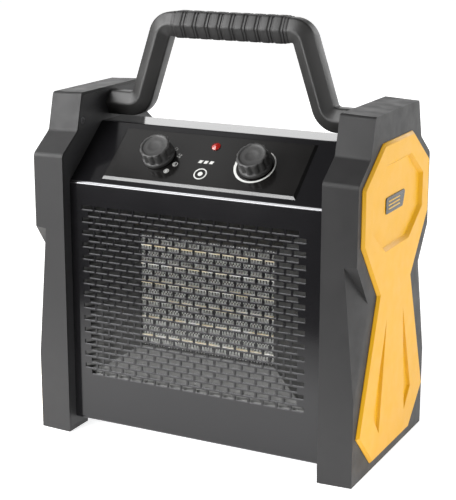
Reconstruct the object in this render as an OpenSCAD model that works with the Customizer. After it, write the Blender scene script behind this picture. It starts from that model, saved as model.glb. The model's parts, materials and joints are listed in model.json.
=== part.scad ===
// Portable ceramic space heater. Two moulded end caps carry a bent sheet-metal body with a
// slotted outlet, a sloping control face and a U-shaped carrying handle. An axial fan blows
// through a finned PTC element. Millimetres, origin at the centre of the footprint on the floor,
// front towards -Y, right-hand cap towards +X, +Z up.

/* [End caps] */
// Width over the two end caps
body_w = 330; // [320:1:345]
// Width of one end cap
cap_t = 33; // [32:0.5:36]
// Height of an end cap
cap_h = 332; // [330:1:336]
// Depth of an end cap at its feet
cap_depth = 186; // [184:1:190]
// Depth of an end cap at the top of its shoulder
shoulder_depth = 131.6; // [130:0.2:134]
// Depth of an end cap at its top
top_depth = 113; // [110:1:116]
// Height where the shoulder starts
shoulder_low_z = 277.5; // [275:0.5:279]
// Height where the shoulder ends
shoulder_high_z = 296.5; // [294:0.5:298]
// Wall of the moulded shells
cap_wall = 3; // [2.5:0.1:3.5]
// Depth of one foot along Y
foot_depth = 33; // [28:1:36]

/* [Side panels] */
// How far a side panel stands out of its cap
panel_proud = 3; // [2:0.1:3.5]
// Bevel round a side panel
panel_bevel = 2.5; // [1.5:0.1:2.8]
// Depth of the octagonal recess in a side panel
recess_depth = 3.5; // [2:0.1:3.5]

/* [Sheet-metal body] */
// Sheet thickness
sheet_t = 1.2; // [0.8:0.1:1.5]
// Distance of the front panel from the middle
front_y = 81; // [80:0.5:82]
// Distance of the rear panel from the middle
rear_y = 74; // [72:0.5:75]
// Height of the lower edge of the front panel
sheet_z = 12.7; // [11:0.1:14]
// Height of the bend between front panel and control face
bend_z = 251.2; // [250:0.2:253]
// Height of the flat top
top_z = 300; // [299:0.5:301]
// Outer radius of the sheet bends
bend_r = 3; // [2:0.5:4]

/* [Outlet slots] */
// Length of one slot
slot_w = 12.2; // [11:0.1:12.4]
// Height of one slot
slot_h = 4.4; // [3.8:0.1:4.6]
// Distance between neighbouring slots
slot_pitch = 14.2; // [14:0.1:14.4]
// Distance between rows of slots
row_pitch = 6.07; // [6:0.01:6.1]

/* [Controls] */
// Distance of each knob from the middle
knob_x = 50; // [46:0.5:52]
// Distance of the knobs from the lower bend, up the control face
knob_s = 38.5; // [36:0.5:40]
// Height of a knob
knob_h = 15.4; // [13:0.1:18]
// Radius of a knob's skirt
skirt_r = 15.8; // [15:0.1:18]
// Height of the raised control panel
control_h = 2.2; // [1.5:0.1:2.5]

/* [Handle] */
// Height of the handle feet's axis
handle_foot_z = 316; // [315.5:0.5:316.5]
// Height of the grip's axis
grip_z = 395; // [380:1:410]
// Thickness of the handle bar across its flats
bar_af = 23; // [20:0.5:23]
// Thickness of the grip across its flats
grip_af = 25.5; // [24.5:0.5:28]
// Length of the grip
grip_l = 117; // [110:1:124]

/* [Heater and fan] */
// Width of the finned element
heater_w = 141; // [130:1:146]
// Height of the finned element
heater_h = 110; // [100:1:114]
// Radius of the fan impeller
fan_r = 72; // [60:1:74]
// Radius of the motor shaft
shaft_r = 2.5; // [2:0.5:3]

/* [Hidden] */
$fn = 64;
pad_proud = 1;
draft = [0.98, 0.996];
cap_x = body_w / 2 - cap_t;
outer_x = body_w / 2;
gap = 0.1;
liner_t = 2.5;
cavity_x = cap_x + 17;
pocket_x = outer_x - 3;

// Notch in each outer corner: its two ends on the edge, and its corners on the two faces
notch_top_z = 206;
notch_low_z = 78.5;
notch_front = [11.5, 204.5];
notch_side = [28, 166.4];

// Badge in the recess of a side panel: width and height, slant of one end, and its sunk bars
badge_z = 246;
badge_size = [49, 15];
badge_slant = 6;
badge_r = 2.5;
badge_sunk = 0.6;
badge_bar = [30, 1.4];

// Side panel: half of the outline, from the top down, as [distance from middle, height]
panel_half = [[37.5, 305], [83.5, 272.5], [83.5, 221.5], [41.5, 167.5], [84.5, 45.5], [48.5, 9.5]];
recess_half = [[31, 285.5], [64.5, 262], [64.5, 229.5], [30, 206]];
groove_points = [[21, 141], [33.5, 34], [49, 54]];
recess_slope = 3;
groove_land = [[15, 146], [28, 27], [55, 51], [26, 146]];
groove_depth = 2.6;
peg_places = [[12, 294], [58, 245], [66, 62], [14, 22]];
peg_r = 2;

// Cap screws as [distance from middle, height]: those above the body, and those inside it
high_screws = [[55, 305]];
low_screws = [[50, 235], [50, 60]];
boss_r = 4.2;

slot_rows = 28;
slot_columns = 16;
slot_bottom_z = 61.1;
slot_shift = -3.1;
intake_rows = 26;
intake_columns = 12;

slope_run = front_y - 21.2;
slope_rise = top_z - bend_z;
slope_angle = atan2(slope_rise, slope_run);
rear_bend_z = top_z - (rear_y - 18) * slope_rise / slope_run;
shell_path = [
    [12 - front_y, sheet_z],
    [-front_y, sheet_z],
    [-front_y, bend_z],
    [slope_run - front_y, top_z],
    [18, top_z],
    [rear_y, rear_bend_z],
    [rear_y, rear_bend_z - 13],
];
shell_half_w = cap_x - gap;
rear_panel_y = rear_y - 2 * sheet_t - gap;

control_half_w = 99.5;
control_s = [7, 71];
lamp_x = 2.5;
lamp_s = 56.2;
lamp_r = 3.9;
knob_low = control_h + 0.4;
knob_r = skirt_r - 0.9;
skirt_t = 3.9;
flutes = 12;
flute_r = 2.8;
flute_depth = 1.7;
spindle_r = 3;
bush_r = 5;
spindle_depth = 24;
bulb_place = [22, 272];

handle_leg_x = [98, 72];
handle_end_x = cap_x + 14.5;
handle_path = [
    [-handle_end_x, handle_foot_z],
    [-handle_leg_x[0], handle_foot_z],
    [-handle_leg_x[1], grip_z],
    [handle_leg_x[1], grip_z],
    [handle_leg_x[0], handle_foot_z],
    [handle_end_x, handle_foot_z],
];
handle_radii = [0, 15, 13, 13, 15, 0];
grip_segments = 9;
grip_pitch = 12.8;

fan_z = 145.5;
heater_y = -55;
heater_depth = 20;
heater_bars = 6;
bar_pitch = heater_h / heater_bars;
bar_h = 3.1;
fin_h = (bar_pitch - bar_h) / 2;
fin_waves = 24;
foil = 0.8;
duct_front = [119, 57, 233];
plenum_y = [-34.4, -14];
plenum_half = 82;
shroud_bore = fan_r + 3;
ring_y = [-14, 14];
blades = 7;
blade_pitch = 32;
hub_r = 20;
spider_y = 14.2;
motor_y = 22;
stack_y = [27, 45];
stack_half_w = 30;
stack_z = [-26, 50];
coil_low = 24;
rotor_r = 15.7;
motor_bolt_places = [[-23, -16], [23, -16]];
gland_x = 96;
gland_z = 46;
gland_bore = 5.5;
gland_thread = 10;
block_pos = [70, 38, 15.3];

// ---- geometry helpers ----

function unit(v) = v / norm(v);

// Arc of radius r in the corner a-b-c
function corner(a, b, c, r, n = 5) =
    let (
        u = unit(a - b),
        w = unit(c - b),
        half = acos(u * w) / 2,
        centre = b + unit(u + w) * r / sin(half),
        start = b + u * r / tan(half) - centre,
        from = atan2(start.y, start.x),
        sweep = (180 - 2 * half) * sign(cross(b - a, c - b))
    )
    [for (i = [0:n]) centre + r * [cos(from + sweep * i / n), sin(from + sweep * i / n)]];

// Closed outline with each corner rounded to its own radius
function rounded(points, radii) =
    let (n = len(points))
    [for (i = [0:n - 1]) each radii[i] == 0 ? [points[i]]
        : corner(points[(i + n - 1) % n], points[i], points[(i + 1) % n], radii[i])];

// Open path with its inner corners rounded to radius r
function rounded_path(p, r) = [
    for (i = [0:len(p) - 1]) each i == 0 || i == len(p) - 1 ? [p[i]] : corner(p[i - 1], p[i], p[i + 1], r)
];

function right_normal(a, b) = let (d = unit(b - a)) [d.y, -d.x];

// Open path moved to its right-hand side by d, with mitred corners
function shifted_path(p, d) = [
    for (i = [0:len(p) - 1])
        let (
            n1 = right_normal(p[max(i - 1, 0)], p[max(i, 1)]),
            n2 = right_normal(p[min(i, len(p) - 2)], p[min(i + 1, len(p) - 1)])
        )
        p[i] + (n1 + n2) * d / (1 + n1 * n2)
];

// Closed counter-clockwise outline grown outwards by d, with mitred corners
function grown(p, d) =
    let (n = len(p))
    [for (i = [0:n - 1])
        let (
            n1 = right_normal(p[(i + n - 1) % n], p[i]),
            n2 = right_normal(p[i], p[(i + 1) % n])
        )
        p[i] + (n1 + n2) * d / (1 + n1 * n2)];

// Full counter-clockwise outline from the half that lies at positive x, listed from the top down
function both_halves(half) = concat(
    [for (p = half) [-p.x, p.y]],
    [for (i = [len(half) - 1:-1:0]) half[i]]
);

function reversed(p) = [for (i = [len(p) - 1:-1:0]) p[i]];
function at_height(p, z) = [for (q = p) [q.x, q.y, z]];

// Solid through closed loops of points, each loop counter-clockwise seen from the last one
module loft(rings) {
    n = len(rings[0]);
    m = len(rings);
    polyhedron(
        points = [for (ring = rings) each ring],
        faces = concat(
            [[for (i = [0:n - 1]) i]],
            [[for (i = [n - 1:-1:0]) (m - 1) * n + i]],
            [for (k = [0:m - 2], i = [0:n - 1])
                [k * n + i, (k + 1) * n + i, (k + 1) * n + (i + 1) % n]],
            [for (k = [0:m - 2], i = [0:n - 1])
                [k * n + i, (k + 1) * n + (i + 1) % n, k * n + (i + 1) % n]]
        )
    );
}

// Ring of a tube round point c, across direction d, which never lies along [1, 1, 1]
function tube_ring(c, d, r, sides) =
    let (
        side = unit(cross([1, 1, 1], d)),
        up = cross(d, side)
    )
    [for (i = [0:sides - 1]) c + r * (cos(i * 360 / sides) * side + sin(i * 360 / sides) * up)];

// Tube of radius r through the points of a path
module tube(path, r, sides = 8) {
    last = len(path) - 1;
    loft([for (i = [0:last])
        tube_ring(path[i], unit(path[min(i + 1, last)] - path[max(i - 1, 0)]), r, sides)]);
}

// Extrudes a (y, z) outline along X from x0
module along_x(x0, length, taper = 1) {
    translate([x0, 0, 0]) rotate([90, 0, 90]) linear_extrude(length, scale = taper, slices = 1) children();
}

// Extrudes an (x, z) outline along Y from y0
module along_y(y0, length) {
    translate([0, y0 + length, 0]) rotate([90, 0, 0]) linear_extrude(length) children();
}

module rod_y(r, y0, y1) { translate([0, y0, 0]) rotate([-90, 0, 0]) cylinder(r = r, h = y1 - y0); }
module rod_x(r, x0, x1) { translate([x0, 0, 0]) rotate([0, 90, 0]) cylinder(r = r, h = x1 - x0); }

// Places children on the control face: x across, s up the slope, z out of it
module on_slope(x, s) {
    translate([0, -front_y, bend_z]) rotate([slope_angle, 0, 0]) translate([x, s, 0]) children();
}

module block(low, high) { translate(low) cube(high - low); }
module mirrored_y() { children(); mirror([0, 1, 0]) children(); }
module mirrored_y_2d() { children(); mirror([1, 0]) children(); }
module left() { mirror([1, 0, 0]) children(); }

// ---- end caps ----

function cap_outline(inset, low_z) = both_halves([
    [top_depth / 2 - inset, cap_h - inset],
    [shoulder_depth / 2 - inset, shoulder_high_z - inset / 4],
    [cap_depth / 2 - inset, shoulder_low_z - inset / 4],
    [cap_depth / 2 - inset, low_z],
]);
cap_radii = [4, 7, 6, 0, 0, 6, 7, 4];

module cap_outline_2d(inset, low_z) { polygon(rounded(cap_outline(inset, low_z), cap_radii)); }

function panel_outline(growth) = grown(both_halves(panel_half), growth);

module corner_notch() {
    edge_y = -cap_depth / 2 * draft.x;
    top = [outer_x, edge_y, notch_top_z];
    low = [outer_x, edge_y, notch_low_z];
    front = [outer_x - notch_front.x, edge_y - 0.6, notch_front.y];
    side = [outer_x, edge_y + notch_side.x, notch_side.y];
    middle = (front + side) / 2;
    hull() polyhedron(
        points = [for (p = [top, front, side, low]) middle + 1.3 * (p - middle)],
        faces = [[0, 1, 2], [0, 3, 1], [1, 3, 2], [0, 2, 3]]
    );
}

module at_places(places) {
    mirrored_y() for (p = places) translate([0, p.x, p.y]) children();
}
module at_places_2d(places) {
    mirrored_y_2d() for (p = places) translate(p) children();
}

module cap_shell() {
    color("#2b2b2d") difference() {
        along_x(cap_x, cap_t, draft) cap_outline_2d(0, pad_proud);
        difference() {
            along_x(cap_x - 1, cavity_x - cap_x + 1) cap_outline_2d(cap_wall, pad_proud + 4);
            at_places(concat(high_screws, low_screws)) rod_x(boss_r, cap_x + liner_t + 2 * gap, cavity_x + 1);
        }
        at_places(concat(high_screws, low_screws)) rod_x(1.7, cap_x, cavity_x + 1);
        block([cavity_x - 1, -48, 20], [pocket_x - cap_wall, 48, 285]);
        block([cap_x - 1, foot_depth - cap_depth / 2, -1], [pocket_x - 1, cap_depth / 2 - foot_depth, 14]);
        mirrored_y() corner_notch();
        along_x(pocket_x, 10) polygon(panel_outline(0.2));
        at_places(peg_places) rod_x(peg_r + 0.15, pocket_x - 8, pocket_x + 1);
        foot_pad_places() block([-12.2, -10.2, -1], [12.2, 10.2, 3.1]);
    }
}

module left_cap() { left() cap_shell(); }
module right_cap() { cap_shell(); }

// Liner that closes the inner side of a cap, with the handle's hole
module liner() {
    color("#242426") difference() {
        along_x(cap_x, liner_t) cap_outline_2d(cap_wall + gap, pad_proud + 4 + gap);
        block([cap_x - 1, foot_depth - cap_depth / 2, 0], [cap_x + 5, cap_depth / 2 - foot_depth, 14]);
        hex_bar([cap_x - 1, handle_foot_z], [cap_x + 5, handle_foot_z], bar_af + 0.4);
        at_places(concat(high_screws, low_screws)) rod_x(1.9, cap_x - 1, cap_x + 5);
        at_places(high_screws) rod_x(3.6, cap_x - 1, cap_x + 1.6);
    }
}
module left_liner() { left() liner(); }
module right_liner() { liner(); }

// ---- side panels ----

// Cutter for a recess with sloping walls in the face at face_x
module sunk(outline, slope, depth, face_x) {
    rotate([90, 0, 90]) loft([
        at_height(grown(outline, -slope), face_x - depth),
        at_height(outline, face_x),
        at_height(outline, face_x + 1),
    ]);
}

module side_panel() {
    outline = panel_outline(0);
    face_x = outer_x + panel_proud;
    recess = both_halves(recess_half);
    color("#f5b335") union() {
        difference() {
            intersection() {
                rotate([90, 0, 90]) loft([
                    at_height(outline, pocket_x - 1),
                    at_height(outline, face_x - panel_bevel),
                    at_height(grown(outline, -panel_bevel - 1), face_x + 1),
                ]);
                block([pocket_x + gap, -cap_depth / 2, 0], [face_x, cap_depth / 2, cap_h]);
            }
            sunk(recess, recess_slope, recess_depth, face_x);
            mirrored_y() sunk(groove_points, 1.2, groove_depth, face_x);
            along_x(face_x - recess_depth - badge_sunk, 5) translate([0, badge_z]) badge_shape(0.1);
            along_x(pocket_x, face_x - panel_bevel - pocket_x) difference() {
                polygon(grown(outline, -2.6));
                polygon(grown(recess, 1.5));
                mirrored_y_2d() polygon(groove_land);
                at_places_2d(peg_places) circle(peg_r + 1.5);
            }
        }
        at_places(peg_places) rod_x(peg_r, pocket_x - 7, pocket_x + 1);
    }
}
module left_side_panel() { left() side_panel(); }
module right_side_panel() { side_panel(); }

// Blank plate with one slanted end
module badge_shape(clearance) {
    half = badge_size / 2 + [clearance, clearance];
    polygon(rounded(
        [[-half.x, -half.y], [half.x - badge_slant, -half.y], [half.x, half.y], [-half.x, half.y]],
        [badge_r, badge_r, badge_r, badge_r]
    ));
}

module badge() {
    floor_x = outer_x + panel_proud - recess_depth;
    color("#3a3a34") difference() {
        along_x(floor_x - badge_sunk, badge_sunk + 0.8) translate([0, badge_z]) badge_shape(0);
        for (i = [-1:1]) translate([floor_x + 0.4, -4, badge_z + 3.4 * i])
            block([0, -badge_bar.x / 2, -badge_bar.y / 2], [2, badge_bar.x / 2, badge_bar.y / 2]);
    }
}
module left_badge() { left() badge(); }
module right_badge() { badge(); }

// ---- feet and cap screws ----

module foot_pad_places() {
    mirrored_y() translate([cap_x + 16, cap_depth / 2 - foot_depth / 2, 0]) children();
}

module foot_pads() {
    color("#1a1a1a") for (side = [0, 1]) mirror([side, 0, 0]) foot_pad_places() difference() {
        block([-12, -10, 0], [12, 10, 3]);
        for (i = [-1:1]) block([-9, 6 * i - 1, -1], [9, 6 * i + 1, 0.6]);
    }
}

// Cross-head screw along +X whose head ends at head_x
module screw_x(head_x, length, head_h = 2) {
    translate([head_x, 0, 0]) difference() {
        union() {
            rod_x(3.4, -head_h, 0);
            rod_x(1.65, -head_h / 2, length);
        }
        translate([-head_h - 1, 0, 0]) rotate([0, 90, 0]) linear_extrude(1 + head_h / 2) {
            square([4, 0.9], true);
            square([0.9, 4], true);
        }
    }
}

module cap_screws() {
    color("#55565a") for (side = [0, 1]) mirror([side, 0, 0]) {
        at_places(high_screws) screw_x(cap_x + 1.6, 12, 1.4);
        at_places(low_screws) screw_x(cap_x - gap - sheet_t, 14);
    }
}

// ---- sheet-metal body ----

module shell_band(depth, thickness) {
    inner_r = max(bend_r - depth - thickness, 0.5);
    polygon(concat(
        rounded_path(shifted_path(shell_path, depth), bend_r - depth),
        reversed(rounded_path(shifted_path(shell_path, depth + thickness), inner_r))
    ));
}

// Brick pattern of slots: rows from the bottom up, each second row moved by half a pitch
module slot_pattern(columns, rows, low_z) {
    for (row = [0:rows - 1], column = [0:columns - 1]) {
        shift = (row % 2 == 0 ? slot_pitch / 4 : -slot_pitch / 4) - columns * slot_pitch / 2;
        translate([shift + (column + 0.5) * slot_pitch - slot_w / 2, low_z + row * row_pitch])
            square([slot_w, slot_h]);
    }
}

module front_shell() {
    window = [shell_half_w - 10, slot_bottom_z - 10, slot_bottom_z + slot_rows * row_pitch + 10];
    color("#1f1f21") union() {
        difference() {
            along_x(-shell_half_w, 2 * shell_half_w) shell_band(0, sheet_t);
            block([-window.x, -front_y - 1, window.y], [window.x, sheet_t + 1 - front_y, window.z]);
            for (side = [-1, 1]) on_slope(side * knob_x, knob_s)
                translate([0, 0, -5]) cylinder(r = bush_r + 0.2, h = 10);
            on_slope(lamp_x, lamp_s) translate([0, 0, -5]) cylinder(r = lamp_r + 0.1, h = 10);
            for (x = [-110, 110]) translate([x, 0, rear_bend_z - 7]) rod_y(1.9, rear_y - 3, rear_y + 1);
        }
        along_y(-front_y, sheet_t) difference() {
            translate([-window.x, window.y]) square([2 * window.x, window.z - window.y]);
            translate([slot_shift, 0]) slot_pattern(slot_columns, slot_rows, slot_bottom_z);
        }
    }
}

module rear_panel() {
    color("#1f1f21") along_y(rear_panel_y, sheet_t) difference() {
        translate([-shell_half_w + 2, sheet_z + 3]) square([2 * shell_half_w - 4, rear_bend_z - 6 - sheet_z]);
        translate([0, 4]) slot_pattern(intake_columns, intake_rows, slot_bottom_z);
        translate([gland_x, gland_z]) circle(gland_thread + 0.2);
        rear_screw_places_2d() circle(1.7);
    }
}

module rear_screw_places_2d() {
    for (x = [-110, 110], z = [sheet_z + 9, rear_bend_z - 7]) translate([x, z]) children();
}

// Floor of the body, with an upturned flange behind the rear panel's lower edge
module base_plate() {
    low = sheet_z + sheet_t + gap;
    back = rear_panel_y - gap;
    half_w = shell_half_w - 2;
    color("#8a8c8e") difference() {
        union() {
            block([-half_w, -front_y + sheet_t + 1.5, low], [half_w, back, low + sheet_t]);
            block([-half_w, back - sheet_t, low], [half_w, back, low + 14]);
        }
        for (x = [-110, 110]) translate([x, 0, sheet_z + 9]) rod_y(1.7, back - 3, back + 1);
        translate([gland_x, 0, gland_z]) rod_y(18.5, back - 3, back + 1);
    }
}

// Side of the body, screwed to the liner of the cap
module end_plate() {
    inner = shifted_path(shell_path, sheet_t + gap);
    color("#8a8c8e") difference() {
        along_x(cap_x - gap - sheet_t, sheet_t) difference() {
            polygon(concat(
                [[rear_panel_y - 2, sheet_z + 4], [inner[2].x, sheet_z + 4]],
                [for (i = [2:4]) inner[i]],
                [[rear_panel_y - 2, rear_bend_z - 3]]
            ));
            translate([0, 150]) square([70, 60], true);
        }
        at_places(low_screws) rod_x(1.9, cap_x - 4, cap_x + 1);
    }
}
module left_end_plate() { left() end_plate(); }
module right_end_plate() { end_plate(); }

module rear_screws() {
    color("#55565a") for (x = [-110, 110]) {
        translate([x, rear_y, rear_bend_z - 7]) rotate(-90) screw_x(0, 8);
        translate([x, rear_panel_y + sheet_t, sheet_z + 9]) rotate(-90) screw_x(0, 8);
    }
}

// ---- controls ----

module control_panel() {
    outline = [[-control_half_w, control_s[0]], [control_half_w, control_s[0]],
        [control_half_w, control_s[1]], [-control_half_w, control_s[1]]];
    color("#2a2829") on_slope(0, 0) difference() {
        loft([at_height(outline, 0), at_height(grown(outline, -control_h), control_h)]);
        for (side = [-1, 1]) translate([side * knob_x, knob_s, -1]) cylinder(r = 9, h = control_h + 2);
        translate([lamp_x, lamp_s, -1]) cylinder(r = lamp_r + 0.1, h = control_h + 2);
    }
}

// Fluted knob: profile as [radius, height], with a thin skirt below and a shallow dish on top
module knob() {
    top = knob_low + knob_h;
    difference() {
        rotate_extrude() polygon([
            [spindle_r, knob_low + 4], [10, knob_low + 4], [10, knob_low], [skirt_r - 0.5, knob_low],
            [skirt_r, knob_low + 0.5], [skirt_r, knob_low + skirt_t - 0.5], [skirt_r - 0.5, knob_low + skirt_t],
            [knob_r, knob_low + skirt_t + 0.2], [knob_r, top - 1.2], [knob_r - 1.2, top], [knob_r - 3.2, top],
            [knob_r - 3.7, top - 0.5], [0, top - 0.5], [0, top - 3], [spindle_r, top - 3],
        ]);
        for (i = [0:flutes - 1]) rotate((i + 0.5) * 360 / flutes)
            translate([knob_r - flute_depth + flute_r, 0, knob_low + skirt_t + 0.3])
                cylinder(r = flute_r, h = knob_h);
    }
}

module selector_knob() { color("#2e2e30") on_slope(-knob_x, knob_s) knob(); }
module thermostat_knob() { color("#2e2e30") on_slope(knob_x, knob_s) knob(); }

module spindle() {
    color("#b9bbbd") translate([0, 0, -spindle_depth])
        cylinder(r = spindle_r, h = spindle_depth + knob_low + knob_h - 3);
}
module selector_spindle() { on_slope(-knob_x, knob_s) spindle(); }
module thermostat_spindle() { on_slope(knob_x, knob_s) spindle(); }

// Body with a threaded bush that holds the spindle
module spindle_housing(half_w, half_l, depth, terminals) {
    low = -sheet_t - gap - depth;
    difference() {
        union() {
            block([-half_w, -half_l, low], [half_w, half_l, -sheet_t - gap]);
            translate([0, 0, -sheet_t - 1]) cylinder(r = bush_r, h = sheet_t + 5.2);
            for (i = [0:terminals - 1], side = [-1, 1])
                block([side * (half_w - 6) - 0.4, (i - (terminals - 1) / 2) * 10 - 3, low - 7],
                    [side * (half_w - 6) + 0.4, (i - (terminals - 1) / 2) * 10 + 3, low + 1]);
        }
        translate([0, 0, -spindle_depth - 0.5]) cylinder(r = spindle_r + 0.05, h = spindle_depth + 10);
    }
}

module selector_switch() { color("#d8d4c8") on_slope(-knob_x, knob_s) spindle_housing(19, 19, 26, 3); }
module thermostat_body() { color("#c4c6c8") on_slope(knob_x, knob_s) spindle_housing(16, 21, 25, 2); }

module hex_nut(af, hole, h) {
    difference() {
        cylinder(r = af / 2 / cos(30), h = h, $fn = 6);
        translate([0, 0, -1]) cylinder(r = hole, h = h + 2);
    }
}
module selector_nut() { color("#b9bbbd") on_slope(-knob_x, knob_s) hex_nut(14, bush_r, 2.4); }
module thermostat_nut() { color("#b9bbbd") on_slope(knob_x, knob_s) hex_nut(14, bush_r, 2.4); }

module capillary_tube() {
    color("#b87333") tube([
        [50, -34.4, 254.8], [50, -31, 251], [54, -24, 249], [60, -14, 256], [62, -4, 264],
        [60, 8, 270], [48, 18, bulb_place[1]], [34, bulb_place[0], bulb_place[1]],
    ], 0.9);
}
module sensor_bulb() { color("#b87333") translate([0, bulb_place[0], bulb_place[1]]) rod_x(3.2, -34, 33.8); }

module lamp_lens() {
    color("#d23a32") on_slope(lamp_x, lamp_s) rotate_extrude() polygon([
        [0, control_h + 0.6], [2.6, control_h + 0.6], [2.6, -8], [lamp_r, -8], [lamp_r, control_h],
        [4.4, control_h], [4.4, control_h + 0.7], [3.6, control_h + 1.6], [1.8, control_h + 2.2],
        [0, control_h + 2.4],
    ]);
}
module lamp_holder() {
    color("#e6e2d6") on_slope(lamp_x, lamp_s) difference() {
        translate([0, 0, -26]) cylinder(r = 5.5, h = 24.6);
        translate([0, 0, -8.2]) cylinder(r = lamp_r + 0.05, h = 10);
    }
}

// ---- handle ----

// Straight hexagonal bar between two points of the XZ plane, with its edges to front and back
module hex_bar(from, to, af) {
    d = to - from;
    translate([from.x, 0, from.y]) rotate([0, atan2(d.x, d.y), 0]) rotate(30)
        cylinder(r = af / 2 / cos(30), h = norm(d), $fn = 6);
}

// Middle line of the handle with rounded bends, its two ends moved outwards by extra
function handle_line(extra) = [
    for (i = [0:len(handle_path) - 1]) each
        i == 0 ? [handle_path[i] - [extra, 0]]
        : i == len(handle_path) - 1 ? [handle_path[i] + [extra, 0]]
        : corner(handle_path[i - 1], handle_path[i], handle_path[i + 1], handle_radii[i], 8)
];

// Hexagonal bar swept along the middle line
module handle_sweep(af, extra) {
    line = handle_line(extra);
    r = af / 2 / cos(30);
    sides = [for (k = [0:5]) shifted_path(line, -r * sin(60 * k))];
    loft([for (i = [0:len(line) - 1]) [for (k = [0:5]) [sides[k][i].x, r * cos(60 * k), sides[k][i].y]]]);
}

module handle_bar() {
    color("#3a3a3c") difference() {
        handle_sweep(bar_af, 0);
        handle_sweep(bar_af - 8, 1);
        for (side = [-1, 1]) translate([side * (cap_x + 9), 0, handle_foot_z - 20]) cylinder(r = 2.6, h = 20);
    }
}

// Rubber sleeve: nine pads, each with a narrow rib on its right, parted by grooves
module handle_grip() {
    groove_af = bar_af + (grip_af - bar_af) * 0.35;
    pads_w = grip_segments * grip_pitch;
    color("#303032") difference() {
        union() {
            hex_bar([-grip_l / 2 - 2, grip_z], [grip_l / 2 + 2, grip_z], groove_af);
            for (i = [0:grip_segments - 1]) {
                x = i * grip_pitch - pads_w / 2;
                hex_bar([x + 0.8, grip_z], [x + 9.2, grip_z], grip_af);
                hex_bar([x + 9.8, grip_z], [x + 12, grip_z], grip_af);
            }
        }
        hex_bar([-grip_l, grip_z], [grip_l, grip_z], bar_af);
    }
}

// Saddle that carries a handle foot inside its cap
module handle_saddle() {
    low = handle_foot_z - bar_af / 2 - 5;
    color("#77797c") difference() {
        block([cap_x + liner_t + gap, -20, low], [cavity_x - 0.3, 20, handle_foot_z + 6]);
        hex_bar([cap_x, handle_foot_z], [cavity_x + 1, handle_foot_z], bar_af + 0.2);
        translate([cap_x + 9, 0, low - 1]) cylinder(r = 2.6, h = 12);
    }
}
module left_handle_saddle() { left() handle_saddle(); }
module right_handle_saddle() { handle_saddle(); }

module handle_screws() {
    head_z = handle_foot_z - bar_af / 2 - 5;
    color("#55565a") for (side = [-1, 1]) translate([side * (cap_x + 9), 0, head_z]) difference() {
        union() {
            translate([0, 0, -3.5]) cylinder(r = 4.5, h = 3.5);
            translate([0, 0, -1]) cylinder(r = 2.5, h = 11);
        }
        translate([0, 0, -4]) cylinder(r = 2.3, h = 2.6, $fn = 6);
    }
}

// ---- heater ----

function rect_points(half_w, low, high) = [[-half_w, low], [half_w, low], [half_w, high], [-half_w, high]];

// Loop of points across Y, counter-clockwise seen from the front
function across_y(p, y) = [for (q = p) [q.x, y, q.y]];

module frustum_y(front, front_at, back, back_at) {
    loft([across_y(back, back_at), across_y(front, front_at)]);
}

module air_duct() {
    wall = 0.9;
    front_at = -front_y + sheet_t + gap;
    low = fan_z - heater_h / 2;
    high = fan_z + heater_h / 2;
    color("#a9abad") difference() {
        frustum_y(
            rect_points(duct_front.x + wall, duct_front.y - wall, duct_front.z + wall), front_at,
            rect_points(heater_w / 2 + 1 + wall, low - 1 - wall, high + 1 + wall), heater_y - 1.2
        );
        frustum_y(
            rect_points(duct_front.x, duct_front.y, duct_front.z), front_at - 0.01,
            rect_points(heater_w / 2 + 1, low - 1, high + 1), heater_y - 1.19
        );
    }
}

// Sheet ring round the element
module heater_frame() {
    color("#9a9c9e") along_y(heater_y - 1, heater_depth + 1.4) difference() {
        translate([0, fan_z]) square([heater_w + 12, heater_h + 12], true);
        translate([0, fan_z]) square([heater_w + 0.4, heater_h + 0.4], true);
    }
}

function bar_z(i) = fan_z + (i - (heater_bars - 1) / 2) * bar_pitch;

module heating_bars() {
    color("#d9d2bd") for (i = [0:heater_bars - 1]) translate([0, 0, bar_z(i)])
        block([-heater_w / 2, heater_y, -bar_h / 2], [heater_w / 2, heater_y + heater_depth, bar_h / 2]);
}

// Corrugated strip of one fin row, as a band of foil along a zigzag
function wave(i) = [(i / fin_waves - 1) * heater_w / 2, i % 2 == 0 ? 0 : fin_h - foil];

module fin_row() {
    polygon(concat(
        [for (i = [0:2 * fin_waves]) wave(i)],
        [for (i = [2 * fin_waves:-1:0]) wave(i) + [0, foil]]
    ));
}

module heater_fins() {
    color("#c9cbcc") along_y(heater_y + 1, heater_depth - 2) for (i = [0:heater_bars - 1]) {
        translate([0, bar_z(i) + bar_h / 2]) fin_row();
        translate([0, bar_z(i) - bar_h / 2 - fin_h]) fin_row();
    }
}

module thermal_cutout() {
    top = fan_z + plenum_half;
    color("#c8b48a") translate([0, -24, top + gap]) union() {
        cylinder(r = 8, h = 8);
        block([-12, -4, 0], [12, 4, 1]);
        for (x = [-4, 4]) block([x - 0.4, -3, 7], [x + 0.4, 3, 15]);
    }
}

// ---- fan and motor ----

module at_fan() { translate([0, 0, fan_z]) children(); }

// Box behind the element, which narrows to a ring round the impeller
module fan_shroud() {
    outer = plenum_half;
    color("#3c3c3e") at_fan() difference() {
        union() {
            block([-outer, plenum_y[0], -outer], [outer, plenum_y[1] + 1.5, outer]);
            rod_y(shroud_bore + 2, ring_y[0], ring_y[1]);
            rod_y(shroud_bore + 9, ring_y[1] - 2, ring_y[1]);
        }
        block([-outer + 1.5, plenum_y[0] + 1.5, -outer + 1.5], [outer - 1.5, plenum_y[1], outer - 1.5]);
        block(
            [-heater_w / 2 - 3, plenum_y[0] - 1, -heater_h / 2 - 3],
            [heater_w / 2 + 3, plenum_y[0] + 2, heater_h / 2 + 3]
        );
        rod_y(shroud_bore, ring_y[0] - 1, ring_y[1] + 1);
        for (a = [45:90:315]) rotate([0, a, 0]) translate([shroud_bore + 5.5, 0, 0])
            rod_y(1.7, 8, ring_y[1] + 1);
    }
}

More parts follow.
